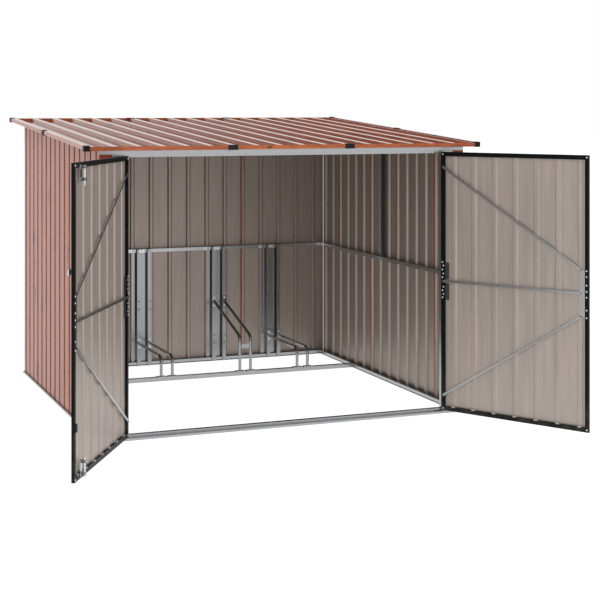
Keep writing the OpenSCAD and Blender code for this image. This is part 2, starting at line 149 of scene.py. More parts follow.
def round_folds(line: Line, radius: float, steps: int = 3) -> Line:
    """Turn the corners of a line into arcs.

    Args:
        line: Corner points of the section.
        radius: Bend radius wanted.
        steps: Straight pieces in each arc.

    Returns:
        The line with its corners rounded.
    """
    out = [line[0]]
    for a, b, c in zip(line, line[1:], line[2:]):
        before, after = b - a, c - b
        cross = before.x * after.y - before.y * after.x
        turn = before.angle(after)
        if turn < 0.02:
            out.append(b)
            continue
        reach = min(radius * math.tan(turn / 2), 0.45 * before.length, 0.45 * after.length)
        start = b - before.normalized() * reach
        inward = Vector((-before.y, before.x)).normalized() * math.copysign(1.0, cross)
        centre = start + inward * (reach / math.tan(turn / 2))
        for k in range(steps + 1):
            swing = Matrix.Rotation(math.copysign(turn * k / steps, cross), 2)
            out.append(centre + swing @ (start - centre))
    out.append(line[-1])
    return out


def offset_line(line: Line, distance: float) -> Line:
    """Shift a line to its left, keeping the gap even round its corners.

    Args:
        line: Corner points of the line.
        distance: How far it moves, to the right if below 0.

    Returns:
        The shifted line, with as many points.
    """
    left = [Vector((a.y - b.y, b.x - a.x)).normalized() for a, b in zip(line, line[1:])]
    out = []
    for i, point in enumerate(line):
        one, two = left[max(i - 1, 0)], left[min(i, len(left) - 1)]
        mean = (one + two).normalized()
        out.append(point + mean * (distance / max(mean.dot(one), 0.3)))
    return out


def rib_line(run: float, first: float, foot: float, crest: float, depth: float) -> Line:
    """Middle line of a ribbed sheet seen on its end.

    Args:
        run: Width of the sheet.
        first: Place of the first rib's middle.
        foot: Width of a rib where it leaves the flat pan.
        crest: Width of a rib's top.
        depth: Height of a rib.

    Returns:
        Points across the sheet, with the ribs standing up by depth.
    """
    points = [Vector((0.0, 0.0))]
    middle = first
    while middle + foot / 2 < run - 0.5:
        for across, up in ((-foot, 0.0), (-crest, depth), (crest, depth), (foot, 0.0)):
            points.append(Vector((middle + across / 2, up)))
        middle += SIZES.rib_pitch
    points.append(Vector((run, 0.0)))
    return points


@dataclass
class Strip:
    """A steel strip folded along straight parallel lines."""

    line: Line
    run: Run
    start: float
    end: float
    thick: float
    bend: float = 3.0
    place: Matrix = field(default_factory=lambda: Matrix.Identity(4))
    left_skin: Skin = Skin.OUTER
    end_at: Callable[[float, float], float] | None = None

    def add_to(self, bm: bmesh.types.BMesh) -> None:
        """Sweep the section along its run and give its faces their skins.

        Args:
            bm: The mesh that the strip is added to.
        """
        side = bm.verts.layers.int.get("side") or bm.verts.layers.int.new("side")
        middle = round_folds(self.line, self.bend)
        near = [bm.verts.new((p.x, p.y, self.start)) for p in offset_line(middle, self.thick / 2)]
        edges = [bm.edges.new(pair) for pair in zip(near, near[1:])]
        rungs = bmesh.ops.extrude_edge_only(bm, edges=edges)["geom"]
        twins = {v for v in rungs if isinstance(v, bmesh.types.BMVert)}
        for vert, target in zip(near, offset_line(middle, -self.thick / 2)):
            twin = next(e.other_vert(vert) for e in vert.link_edges if e.other_vert(vert) in twins)
            twin.co = (target.x, target.y, self.start)
            vert[side], twin[side] = 1, 2
        section = [f for f in rungs if isinstance(f, bmesh.types.BMFace)]
        grown = bmesh.ops.extrude_face_region(bm, geom=section)["geom"]
        far = [v for v in grown if isinstance(v, bmesh.types.BMVert)]
        for vert in far:
            vert.co.z = self.end_at(vert.co.x, vert.co.y) if self.end_at else self.end
        verts = [*near, *twins, *far]
        right_skin = Skin.INNER if self.left_skin is Skin.OUTER else Skin.OUTER
        for face in {f for v in verts for f in v.link_faces}:
            sides = {v[side] for v in face.verts}
            skin = Skin.CUT if len(sides) > 1 else (self.left_skin if sides == {1} else right_skin)
            face.material_index = skin.value
        bmesh.ops.transform(bm, matrix=self.place @ self.run.matrix, verts=verts)


def add_box(bm: bmesh.types.BMesh, low: Point, high: Point, place: Matrix, bevel: float = 0.0,
            skin: int = 0) -> None:
    """Add a box with bevelled edges.

    Args:
        bm: The mesh that the box is added to.
        low: Lowest corner.
        high: Highest corner.
        place: Matrix from the box's own axes to the shelter's.
        bevel: Width of the bevel, none at 0.
        skin: Material slot.
    """
    low, high = Vector(low), Vector(high)
    made = bmesh.ops.create_cube(bm, size=1.0)["verts"]
    size = Matrix.Diagonal((*(high - low), 1.0))
    bmesh.ops.transform(bm, matrix=place @ Matrix.Translation((low + high) / 2) @ size, verts=made)
    faces = {f for v in made for f in v.link_faces}
    for face in faces:
        face.material_index = skin
    if bevel:
        edges = list({e for v in made for e in v.link_edges})
        bmesh.ops.bevel(bm, geom=edges, offset=bevel, affect="EDGES", segments=2, profile=0.5, material=-1)


def add_bolt(bm: bmesh.types.BMesh, at: Point, facing: Point, radius: float, height: float,
             washer: float = 0.0) -> None:
    """Add a domed bolt head, with a washer if its width is given.

    Args:
        bm: The mesh that the head is added to.
        at: Middle of the head on the surface that it sits on.
        facing: Direction that the head faces.
        radius: Radius of the head.
        height: Height of the dome.
        washer: Radius of a flat washer under the head, none at 0.
    """
    turn = Vector((0, 0, 1)).rotation_difference(Vector(facing).normalized()).to_matrix().to_4x4()
    seat = Matrix.Translation(Vector(at)) @ turn
    dome = bmesh.ops.create_uvsphere(bm, u_segments=12, v_segments=6, radius=1.0)["verts"]
    parts = [(dome, Matrix.Diagonal((radius, radius, height, 1.0)))]
    if washer:
        disc = bmesh.ops.create_cone(bm, cap_ends=True, segments=16, radius1=washer, radius2=washer * 0.94,
                                     depth=1.6)["verts"]
        parts.append((disc, Matrix.Translation((0, 0, 0.4))))
    for verts, shape in parts:
        bmesh.ops.transform(bm, matrix=seat @ shape, verts=verts)


def leaf_matrix(side: Side) -> Matrix:
    """Place of a door leaf standing open.

    Args:
        side: The leaf's own side.

    Returns:
        Matrix from (across from the hinge edge, depth, height) to the shelter's axes.
    """
    mirror = Matrix.Diagonal((-side.value, 1.0, 1.0, 1.0))
    swing = Matrix.Rotation(math.radians(-SIZES.door_open), 4, "Z")
    hinge = Matrix.Translation((-SIZES.hinge_x, SIZES.hinge_y, 0.0))
    back = Matrix.Translation((SIZES.hinge_x - SIZES.leaf_edge_x, -SIZES.hinge_y, 0.0))
    return mirror @ hinge @ swing @ back


def roof_matrix() -> Matrix:
    """Place of something drawn flat on the roof: x across, y up the slope, z out of the roof."""
    eave = Matrix.Translation((0.0, SIZES.roof_front_y, SIZES.roof_front_z))
    return eave @ Matrix.Rotation(SIZES.roof_angle, 4, "X")


def make_piece(bm: bmesh.types.BMesh, name: str, body: str, materials: list[bpy.types.Material],
               replaces: tuple[str, ...] = ()) -> bpy.types.Object:
    """Turn a finished mesh into a piece of the shelter.

    Args:
        bm: The mesh, in millimetres; it is used up.
        name: Name of the piece.
        body: The moving body that it belongs to.
        materials: Materials for its slots.
        replaces: Construction nodes that it stands for.

    Returns:
        The new object.
    """
    bmesh.ops.scale(bm, vec=(MM, MM, MM), verts=bm.verts)
    bmesh.ops.recalc_face_normals(bm, faces=bm.faces)
    for face in bm.faces:
        face.smooth = True
    mesh = bpy.data.meshes.new(name)
    bm.to_mesh(mesh)
    bm.free()
    mesh.set_sharp_from_angle(angle=SMOOTH_BELOW)
    for material in materials:
        mesh.materials.append(material)
    obj = bpy.data.objects.new(name, mesh)
    bpy.context.scene.collection.objects.link(obj)
    even = obj.modifiers.new("even_normals", "WEIGHTED_NORMAL")
    even.keep_sharp = True
    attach(obj, body)
    if replaces:
        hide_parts(*replaces)
    log.info("%s: %d faces on %s", name, len(mesh.polygons), body)
    return obj


# ---- Finishes ----


class Tree:
    """A short way to add nodes to a shader tree."""

    def __init__(self, tree: bpy.types.NodeTree) -> None:
        """Keep the tree that nodes are added to."""
        self.tree = tree

    def add(self, kind: str, ins: dict | None = None, out: int | str = 0, **settings) -> Socket:
        """Add a node.

        Args:
            kind: Node type.
            ins: Values or sockets for its inputs, by name or place.
            out: The output wanted back.
            **settings: Settings of the node itself.

        Returns:
            The chosen output socket.
        """
        node = self.tree.nodes.new(kind)
        for key, value in settings.items():
            setattr(node, key, value)
        for key, value in (ins or {}).items():
            if isinstance(value, bpy.types.NodeSocket):
                self.tree.links.new(value, node.inputs[key])
            else:
                node.inputs[key].default_value = value
        return node.outputs[out]

    def group(self, group: bpy.types.NodeTree, ins: dict, out: str) -> Socket:
        """Add a shared effect and give back one of its outputs."""
        return self.add("ShaderNodeGroup", ins, out, node_tree=group)

    def mix(self, amount: Value, one: Ink, two: Ink) -> Socket:
        """Blend two colours by an amount."""
        return self.add("ShaderNodeMix", {0: amount, 6: one, 7: two}, 2, data_type="RGBA")

    def scale(self, value: Value, low: float, high: float, to_low: float = 0.0, to_high: float = 1.0) -> Socket:
        """Carry a value from one range to another, held at its ends."""
        ins = {0: value, 1: low, 2: high, 3: to_low, 4: to_high}
        return self.add("ShaderNodeMapRange", ins, clamp=True)

    def maths(self, operation: str, one: Value, two: Value) -> Socket:
        """Work on two numbers."""
        return self.add("ShaderNodeMath", {0: one, 1: two}, operation=operation)

    def noise(self, vector: Socket, size: float, detail: float = 3.0, rough: float = 0.55) -> Socket:
        """Add soft noise."""
        ins = {"Vector": vector, "Scale": size, "Detail": detail, "Roughness": rough}
        return self.add("ShaderNodeTexNoise", ins)


class SharedEffects:
    """Node groups that several finishes use, each built once."""

    def __init__(self) -> None:
        """Build every group."""
        self.grain = self._grain()
        self.spangle = self._spangle()
        self.coat = self._coat()
        self.soil = self._soil()

    @staticmethod
    def _group(name: str, ins: dict[str, str],
               outs: dict[str, str]) -> tuple[bpy.types.NodeTree, Tree, bpy.types.NodeOutputs, bpy.types.Node]:
        """Start a group.

        Args:
            name: Name of the group.
            ins: Input names and kinds.
            outs: Output names and kinds.

        Returns:
            The tree, a helper for it, the input sockets and the output node.
        """
        tree = bpy.data.node_groups.new(name, "ShaderNodeTree")
        for direction, sockets in (("INPUT", ins), ("OUTPUT", outs)):
            for label, kind in sockets.items():
                tree.interface.new_socket(name=label, in_out=direction, socket_type=f"NodeSocket{kind}")
        start, end = tree.nodes.new("NodeGroupInput"), tree.nodes.new("NodeGroupOutput")
        return tree, Tree(tree), start.outputs, end

    def _grain(self) -> bpy.types.NodeTree:
        """Printed timber grain: long streaks, darker veins and scattered knots.

        Returns:
            The finished group.
        """
        ins = {"Vector": "Vector", "Knots": "Vector", "Light": "Color", "Middle": "Color", "Dark": "Color"}
        tree, t, i, end = self._group("printed_grain", ins, {"Color": "Color", "Vein": "Float"})
        wander = t.noise(i["Vector"], 0.8, 2.0)
        bent = t.add("ShaderNodeVectorMath", {0: i["Vector"], 1: wander}, operation="ADD")
        broad = t.scale(t.noise(bent, 2.6, 4.0, 0.6), 0.35, 0.65)
        fine = t.scale(t.noise(bent, 22.0, 3.0, 0.7), 0.47, 0.66)
        cell = t.add("ShaderNodeTexVoronoi", {"Vector": i["Knots"], "Scale": 1.0, "Randomness": 1.0}, "Distance")
        knot = t.scale(cell, 0.07, 0.2, 1.0, 0.0)
        body = t.mix(broad, i["Middle"], i["Light"])
        veined = t.mix(t.maths("MULTIPLY", fine, 0.75), body, i["Dark"])
        tree.links.new(t.mix(t.maths("MULTIPLY", knot, 0.85), veined, i["Dark"]), end.inputs["Color"])
        tree.links.new(t.maths("MAXIMUM", fine, knot), end.inputs["Vein"])
        return tree

    def _spangle(self) -> bpy.types.NodeTree:
        """Zinc crystals: soft patches, each with its own tone.

        Returns:
            The finished group.
        """
        outs = {"Tone": "Float", "Height": "Float"}
        tree, t, i, end = self._group("zinc_spangle", {"Vector": "Vector", "Size": "Float"}, outs)
        cell = t.add("ShaderNodeTexVoronoi", {"Vector": i["Vector"], "Scale": i["Size"]}, "Color")
        tone = t.add("ShaderNodeSeparateColor", {0: cell}, 0)
        cloud = t.noise(i["Vector"], 9.0, 4.0)
        both = t.maths("ADD", t.maths("MULTIPLY", tone, 0.55), t.maths("MULTIPLY", cloud, 0.45))
        tree.links.new(both, end.inputs["Tone"])
        tree.links.new(cloud, end.inputs["Height"])
        return tree

    def _coat(self) -> bpy.types.NodeTree:
        """Coating texture: fine orange peel, slow waves in the sheet and faint rub marks.

        Returns:
            The finished group.
        """
        outs = {"Height": "Float", "Rub": "Float"}
        tree, t, i, end = self._group("coat_texture", {"Vector": "Vector", "Peel": "Float"}, outs)
        peel = t.maths("MULTIPLY", t.noise(i["Vector"], 420.0, 2.0), i["Peel"])
        wave = t.noise(i["Vector"], 3.2, 1.0)
        tree.links.new(t.maths("ADD", peel, wave), end.inputs["Height"])
        rub = t.scale(t.noise(i["Vector"], 14.0, 6.0, 0.7), 0.55, 0.8)
        tree.links.new(rub, end.inputs["Rub"])
        return tree

    def _soil(self) -> bpy.types.NodeTree:
        """Dust that gathers towards the ground.

        Returns:
            The finished group.
        """
        tree, t, i, end = self._group("ground_dust", {"Vector": "Vector", "Reach": "Float"}, {"Mask": "Float"})
        height = t.add("ShaderNodeSeparateXYZ", {0: i["Vector"]}, 2)
        low = t.add("ShaderNodeMapRange", {0: height, 1: 0.0, 2: i["Reach"], 3: 1.0, 4: 0.0}, clamp=True)
        cloud = t.scale(t.noise(i["Vector"], 18.0, 5.0, 0.65), 0.35, 0.75)
        tree.links.new(t.maths("MULTIPLY", low, cloud), end.inputs["Mask"])
        return tree


class GrainRun(Enum):
    """Direction of the printed grain, as the stretch of the shelter's axes."""

    ACROSS = (0.9, 16.0, 16.0)
    DEEP = (16.0, 0.9, 16.0)
    UPRIGHT = (16.0, 16.0, 0.9)


@dataclass(frozen=True)
class Finish:
    """What every finish shares."""

    name: str
    base: Colour
    rough: float
    dust: float = 0.12
    dust_reach: float = 0.35
    dust_rough: float = 0.6
    dust_colour: Colour = (0.42, 0.38, 0.33)

    def start(self) -> tuple[bpy.types.Material, Tree, bpy.types.Node, Socket]:
        """Make the material.

        Returns:
            The material, a helper for its tree, its main shader and the object's own coordinates.
        """
        material = bpy.data.materials.new(self.name)
        material.use_nodes = True
        material.diffuse_color = (*self.base, 1.0)
        tree = material.node_tree
        shader = next(n for n in tree.nodes if n.type == "BSDF_PRINCIPLED")
        helper = Tree(tree)
        return material, helper, shader, helper.add("ShaderNodeTexCoord", out="Object")

    def close(self, helper: Tree, shader: bpy.types.Node, effects: SharedEffects, spot: Socket, colour: Ink,
              rough: Value, height: Socket, bump: float) -> None:
        """Lay the dust over a finish and join it to the shader.

        Args:
            helper: Helper of the material's tree.
            shader: The main shader.
            effects: The shared groups.
            spot: The object's own coordinates.
            colour: Colour before the dust.
            rough: Roughness before the dust.
            height: Height for the bump.
            bump: Depth of the bump in metres.
        """
        mask = helper.group(effects.soil, {"Vector": spot, "Reach": self.dust_reach}, "Mask")
        dust = helper.maths("MULTIPLY", mask, self.dust)
        dusty = helper.mix(dust, colour, (*self.dust_colour, 1.0))
        helper.tree.links.new(dusty, shader.inputs["Base Color"])
        dry = helper.maths("ADD", rough, helper.maths("MULTIPLY", dust, self.dust_rough))
        helper.tree.links.new(dry, shader.inputs["Roughness"])
        relief = helper.add("ShaderNodeBump", {"Height": height, "Distance": bump, "Strength": 1.0})
        helper.tree.links.new(relief, shader.inputs["Normal"])


@dataclass(frozen=True)
class WoodLook(Finish):
    """Glossy coating printed with a timber grain."""

    light: Colour = (0.35, 0.1, 0.04)
    dark: Colour = (0.035, 0.011, 0.007)
    run: GrainRun = GrainRun.UPRIGHT
    ior: float = 1.35
    knots: float = 1.0
    knots_along: float = 2.6
    knots_across: float = 7.0
    peel: float = 0.05
    vein_rough: float = 0.05
    rub_rough: float = 0.06
    bump: float = 0.0002

    def build(self, effects: SharedEffects) -> bpy.types.Material:
        """Build the material.

        Args:
            effects: The shared groups.

        Returns:
            The finished material.
        """
        material, t, shader, spot = self.start()
        stretched = t.add("ShaderNodeMapping", {"Vector": spot, "Scale": self.run.value})
        spread = tuple(self.knots * (self.knots_along if stretch < 1 else self.knots_across)
                       for stretch in self.run.value)
        knots = t.add("ShaderNodeMapping", {"Vector": spot, "Scale": spread})
        inks = {"Light": (*self.light, 1), "Middle": (*self.base, 1), "Dark": (*self.dark, 1)}
        ins = {"Vector": stretched, "Knots": knots, **inks}
        node = t.group(effects.grain, ins, "Color").node
        coat = t.group(effects.coat, {"Vector": spot, "Peel": self.peel}, "Height").node
        rough = t.maths("ADD", t.maths("MULTIPLY", node.outputs["Vein"], self.vein_rough),
                        t.scale(coat.outputs["Rub"], 0.0, 1.0, self.rough, self.rough + self.rub_rough))
        shader.inputs["IOR"].default_value = self.ior
        self.close(t, shader, effects, spot, node.outputs["Color"], rough, coat.outputs["Height"], self.bump)
        return material


@dataclass(frozen=True)
class PlainCoat(Finish):
    """Plain coloured coating with faint streaks and rub marks."""

    coat: float = 0.15
    streak: float = 0.16
    peel: float = 0.06
    metallic: float = 0.0
    gloss: float = 0.5
    coat_rough: float = 0.2
    rub: float = 0.25
    rub_rough: float = 0.14
    bump: float = 0.0006

    def build(self, effects: SharedEffects) -> bpy.types.Material:
        """Build the material.

        Args:
            effects: The shared groups.

        Returns:
            The finished material.
        """
        material, t, shader, spot = self.start()
        stretched = t.add("ShaderNodeMapping", {"Vector": spot, "Scale": GrainRun.UPRIGHT.value})
        streaks = t.scale(t.noise(stretched, 2.2, 4.0, 0.6), 0.3, 0.7)
        deep = tuple(c * (1 - self.streak) for c in self.base)
        warm = tuple(c * f for c, f in zip(self.base, (1.04, 1.0, 0.96)))
        coat = t.group(effects.coat, {"Vector": spot, "Peel": self.peel}, "Height").node
        pale = tuple(min(1.0, c * 1.25 + 0.01) for c in self.base)
        worn = t.mix(t.maths("MULTIPLY", coat.outputs["Rub"], self.rub), t.mix(streaks, (*deep, 1), (*warm, 1)),
                     (*pale, 1))
        rough = t.scale(coat.outputs["Rub"], 0.0, 1.0, self.rough, self.rough + self.rub_rough)
        shader.inputs["Coat Weight"].default_value = self.coat
        shader.inputs["Coat Roughness"].default_value = self.coat_rough
        shader.inputs["Metallic"].default_value = self.metallic
        shader.inputs["Specular IOR Level"].default_value = self.gloss
        self.close(t, shader, effects, spot, worn, rough, coat.outputs["Height"], self.bump)
        return material


@dataclass(frozen=True)
class Zinc(Finish):
    """Galvanised or zinc-plated steel."""

    dull: Colour = (0.3, 0.31, 0.32)
    grains: float = 90.0
    metallic: float = 0.9
    spread: float = 0.12
    bump: float = 0.00003

    def build(self, effects: SharedEffects) -> bpy.types.Material:
        """Build the material.

        Args:
            effects: The shared groups.

        Returns:
            The finished material.
        """
        material, t, shader, spot = self.start()
        node = t.group(effects.spangle, {"Vector": spot, "Size": self.grains}, "Tone").node
        tone = t.scale(node.outputs["Tone"], 0.2, 0.8)
        colour = t.mix(tone, (*self.dull, 1), (*self.base, 1))
        rough = t.scale(tone, 0.0, 1.0, self.rough, self.rough + self.spread)
        shader.inputs["Metallic"].default_value = self.metallic
        self.close(t, shader, effects, spot, colour, rough, node.outputs["Height"], self.bump)
        return material


class Finishes:
    """Every finish of the shelter, built from the shared effects."""

    def __init__(self, effects: SharedEffects) -> None:
        """Build the materials.

        Args:
            effects: The shared groups.
        """
        taupe = (0.365, 0.315, 0.285)
        self.wood_upright = WoodLook("WoodLookUpright", (0.27, 0.055, 0.02), 0.17, light=(0.37, 0.092, 0.036),
                                     ior=1.2).build(effects)
        self.wood_deep = WoodLook("WoodLookDeep", (0.34, 0.07, 0.022), 0.1, run=GrainRun.DEEP,
                                  light=(0.45, 0.12, 0.045)).build(effects)
        self.wood_across = WoodLook("WoodLookAcross", (0.38, 0.09, 0.03), 0.3, run=GrainRun.ACROSS,
                                    light=(0.54, 0.15, 0.05), knots=3.2).build(effects)
        self.wood_lap = WoodLook("WoodLookLap", (0.3, 0.06, 0.03), 0.3, light=(0.42, 0.1, 0.05)).build(effects)
        self.taupe = PlainCoat("TaupeCoat", taupe, 0.4, coat=0.0, metallic=0.6).build(effects)
        self.door_taupe = PlainCoat("DoorTaupeCoat", (0.42, 0.368, 0.336), 0.4, coat=0.0,
                                    metallic=0.4).build(effects)
        self.black = PlainCoat("BlackPowderCoat", (0.004, 0.0055, 0.006), 0.4, coat=0.0, peel=0.2,
                               gloss=0.07).build(effects)
        self.plastic = PlainCoat("BlackPlastic", (0.007, 0.008, 0.009), 0.5, coat=0.0, peel=0.4,
                                 gloss=0.2).build(effects)
        self.dark = PlainCoat("DarkCoat", (0.05, 0.06, 0.07), 0.4, metallic=0.5).build(effects)
        self.zinc = Zinc("GalvanisedSteel", (0.4, 0.405, 0.415), 0.24, dull=(0.375, 0.38, 0.39), grains=60.0,
                         metallic=1.0, spread=0.02).build(effects)
        self.post_zinc = Zinc("PostSteel", (0.31, 0.315, 0.322), 0.2, dull=(0.3, 0.305, 0.312), grains=60.0,
                              metallic=1.0, spread=0.02).build(effects)
        self.rack_zinc = Zinc("RackSteel", (0.32, 0.33, 0.35), 0.1, dull=(0.3, 0.31, 0.32), grains=80.0,
                              metallic=1.0, spread=0.03).build(effects)
        self.bright = Zinc("BrightZinc", (0.8, 0.8, 0.79), 0.24, dull=(0.66, 0.66, 0.64),
                           grains=160.0).build(effects)
        self.cut = Zinc("CutEdge", (0.5, 0.49, 0.47), 0.5).build(effects)


def dress_node(node: str, material: bpy.types.Material, edge: float = 0.5) -> None:
    """Give a construction node its finish and soften its edges.

    Args:
        node: Name of the node.
        material: Its finish.
        edge: Width of the softened edges in millimetres, none at 0.
    """
    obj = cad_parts[node]
    obj.data.materials.clear()
    obj.data.materials.append(material)
    if edge:
        weld = obj.modifiers.new("joined_edges", "WELD")
        weld.merge_threshold = 0.02 * MM
        bevel = obj.modifiers.new("soft_edges", "BEVEL")
        bevel.width = edge * MM
        bevel.segments = 2
        bevel.limit_method = "ANGLE"
        bevel.angle_limit = BEVEL_ABOVE
        even = obj.modifiers.new("even_normals", "WEIGHTED_NORMAL")
        even.keep_sharp = True
    log.info("%s: %s", node, material.name)


# ---- Sub-assemblies ----


@dataclass
class Walls:
    """Ribbed wall sheets and the narrow returns beside the doorway."""

    finishes: Finishes
    rib_foot: float = 33.0
    rib_crest: float = 17.0
    rib_depth: float = 12.0
    foot_z: float = 13.0
    carry_drop: float = 24.5
    bend: float = 1.5
    side_first: float = 69.5
    back_first: float = 82.0
    back_half: float = 1086.0
    front_gap: float = 5.0
    lap_foot: float = 27.0
    rail_low: float = 782.0
    rail_high: float = 806.0
    top_rail: float = 31.0
    lap_ribs: tuple[int, ...] = (2, 6, 9, 13)
    whole_laps: tuple[int, ...] = (2, 9)
    back_lap: tuple[float, float] = (448.0, 456.0)
    back_lap_top: float = 1640.0
    # Place across the back wall, and height range, of a thin dark strip on the wall's inner face beside the back lap.
    dark_line: tuple[float, float] = (466.0, 468.5)
    dark_line_rise: tuple[float, float] = (1340.0, 1520.0)

    def build(self) -> None:
        """Build the three sheets and dress the returns."""
        skins = [self.finishes.wood_upright, self.finishes.taupe, self.finishes.cut]
        for side in Side:
            self._side_sheet(side, skins)
        self._back_sheet(skins)
        for node in ("front_left_return", "front_right_return"):
            dress_node(node, self.finishes.wood_upright)
        self._laps()

    def _side_sheet(self, side: Side, skins: list[bpy.types.Material]) -> None:
        """Build one side wall, its top cut to the roof's slope.

        Args:
            side: Which wall.
            skins: Its outer, inner and cut finishes.
        """
        y0 = SIZES.face_y + self.front_gap
        line = [Vector((-SIZES.wall_x + p.y + SIZES.sheet / 2, y0 + p.x))
                for p in rib_line(SIZES.wall_y - y0, self.side_first, self.rib_foot, self.rib_crest, self.rib_depth)]
        bm = bmesh.new()
        Strip(line, Run.ALONG_Z, self.foot_z, 0.0, SIZES.sheet, self.bend,
              place=Matrix.Diagonal((-side.value, 1, 1, 1)),
              end_at=lambda x, y: SIZES.roof_z(y) - self.carry_drop).add_to(bm)
        make_piece(bm, f"{side.name.title()}WallSheet", "shelter", skins,
                   (f"{side.name.lower()}_wall",))

    def _back_sheet(self, skins: list[bpy.types.Material]) -> None:
        """Build the back wall.

        Args:
            skins: Its outer, inner and cut finishes.
        """
        half = self.back_half
        line = [Vector((half - p.x, SIZES.wall_y - p.y - SIZES.sheet / 2))
                for p in rib_line(2 * half, self.back_first, self.rib_foot, self.rib_crest, self.rib_depth)]
        top = SIZES.roof_z(SIZES.wall_y - self.rib_depth - SIZES.sheet) - self.carry_drop
        bm = bmesh.new()
        Strip(line, Run.ALONG_Z, self.foot_z, top, SIZES.sheet, self.bend, left_skin=Skin.INNER).add_to(bm)
        make_piece(bm, "BackWallSheet", "shelter", skins, ("back_wall",))

    def _laps(self) -> None:
        """Show the outer coat where one sheet laps over the next on the inside."""
        bm = bmesh.new()
        inner = SIZES.wall_x - self.rib_depth - SIZES.sheet
        first, half = SIZES.face_y + self.front_gap + self.side_first, self.rib_crest / 2
        for rib in self.lap_ribs:
            y = first + rib * SIZES.rib_pitch
            top = SIZES.roof_z(y) - self.carry_drop - self.top_rail
            spans = [(self.rail_high, top)]
            if rib in self.whole_laps:
                spans.append((self.lap_foot, self.rail_low))
            for low, high in spans:
                add_box(bm, (inner - 0.6, y - half, low), (inner + 0.2, y + half, high), FLAT)
        inner = SIZES.wall_y - self.rib_depth - SIZES.sheet
        for low, high in ((self.lap_foot, self.rail_low), (self.rail_high, self.back_lap_top)):
            add_box(bm, (self.back_lap[0], inner - 0.6, low), (self.back_lap[1], inner + 0.2, high), FLAT)
        # A thin flat dark strip on the back rib's crest, 2.5 mm wide, high up beside the back lap.
        add_box(bm, (self.dark_line[0], inner - 0.5, self.dark_line_rise[0]), (self.dark_line[1], inner + 0.2, self.dark_line_rise[1]),
                FLAT, skin=1)
        make_piece(bm, "SheetLaps", "shelter", [self.finishes.wood_lap, self.finishes.dark])


@dataclass
class Roof:
    """Ribbed roof sheet, edge trims and the black clips over them."""

    finishes: Finishes
    rib_foot: float = 54.0
    rib_crest: float = 34.0
    rib_height: float = 18.0
    rib_first: float = 28.0
    sheet_drop: float = 23.5
    edge_gap: float = 3.0

    def build(self) -> None:
        """Build the sheet and dress the trims and clips."""
        run = 2 * (SIZES.roof_half_width - self.edge_gap)
        line = [p + Vector((-run / 2, SIZES.sheet / 2 - self.sheet_drop))
                for p in rib_line(run, self.rib_first, self.rib_foot, self.rib_crest, self.rib_height)]
        bm = bmesh.new()
        Strip(line, Run.ALONG_Y, self.edge_gap, SIZES.roof_length - self.edge_gap, SIZES.sheet,
              place=roof_matrix()).add_to(bm)
        make_piece(bm, "RoofSheet", "shelter",
                   [self.finishes.wood_deep, self.finishes.taupe, self.finishes.cut], ("roof_sheet",))
        for node in ("front_roof_trim", "back_roof_trim"):
            dress_node(node, self.finishes.wood_across)
        for node in ("left_roof_trim", "right_roof_trim"):
            dress_node(node, self.finishes.wood_deep)
        dress_node("roof_trim_clips", self.finishes.plastic, 0.8)


@dataclass
class SteelFrame:
    """Base tracks, posts, rails, header and purlin."""

    finishes: Finishes
    rack_places: tuple[float, ...] = (-682.0, -272.0, 272.0, 682.0)
    plate_low: float = 783.0
    plate_high: float = 805.0
    post_front_y: float = 1025.5
    rail_front_y: float = 1042.5
    side_rail_x: float = 1055.0
    plate: float = 2.0
    track_inner_x: float = 1046.0
    track_head: tuple[float, float] = (-455.0, 16.5)

    def build(self) -> None:
        """Dress the zinc frame."""
        for node in ("front_sill", "left_base_track", "right_base_track", "back_base_track", "rack_floor_rail",
                     "left_hinge_post", "right_hinge_post", "left_mid_rail",
                     "right_mid_rail", "back_mid_rail", "door_header", "left_top_rail", "right_top_rail",
                     "back_top_rail", "roof_purlin"):
            dress_node(node, self.finishes.zinc)
        dress_node("rack_posts", self.finishes.post_zinc)
        dress_node("side_stub_posts", self.finishes.dark)
        dress_node("post_hinge_leaves", self.finishes.black, 0.0)
        self._joints()

    def _joints(self) -> None:
        """Add the plates and heads of the middle rails, and one head in each side track."""
        low, high = self.plate_low, self.plate_high
        middle = (low + high) / 2
        bm = bmesh.new()
        for x in self.rack_places:
            for left, head, right, face in ((37.5, 20.0, 2.0, self.post_front_y),
                                            (108.0, 97.0, 86.0, self.rail_front_y)):
                add_box(bm, (x - left, face - self.plate, low), (x - right, face, high), FLAT, 0.4)
                add_bolt(bm, (x - head, face - self.plate, middle), (0, -1, 0), 5.0, 3.0)
        plate_x = self.side_rail_x - self.plate
        for side in (-1, 1):
            for y in (-14.0, 14.0):
                for z in (789.0, 800.0):
                    add_bolt(bm, (side * self.side_rail_x, y, z), (-side, 0, 0), 3.5, 2.5)
            near, far = sorted((side * plate_x, side * self.side_rail_x))
            add_box(bm, (near, 985.0, low), (far, 1036.0, high), FLAT, 0.4)
            for y in (997.0, 1024.0):
                add_bolt(bm, (side * plate_x, y, middle), (-side, 0, 0), 5.0, 3.0)
            add_bolt(bm, (side * self.track_inner_x, *self.track_head), (-side, 0, 0), 7.0, 3.0)
        make_piece(bm, "RailJoints", "shelter", [self.finishes.bright])


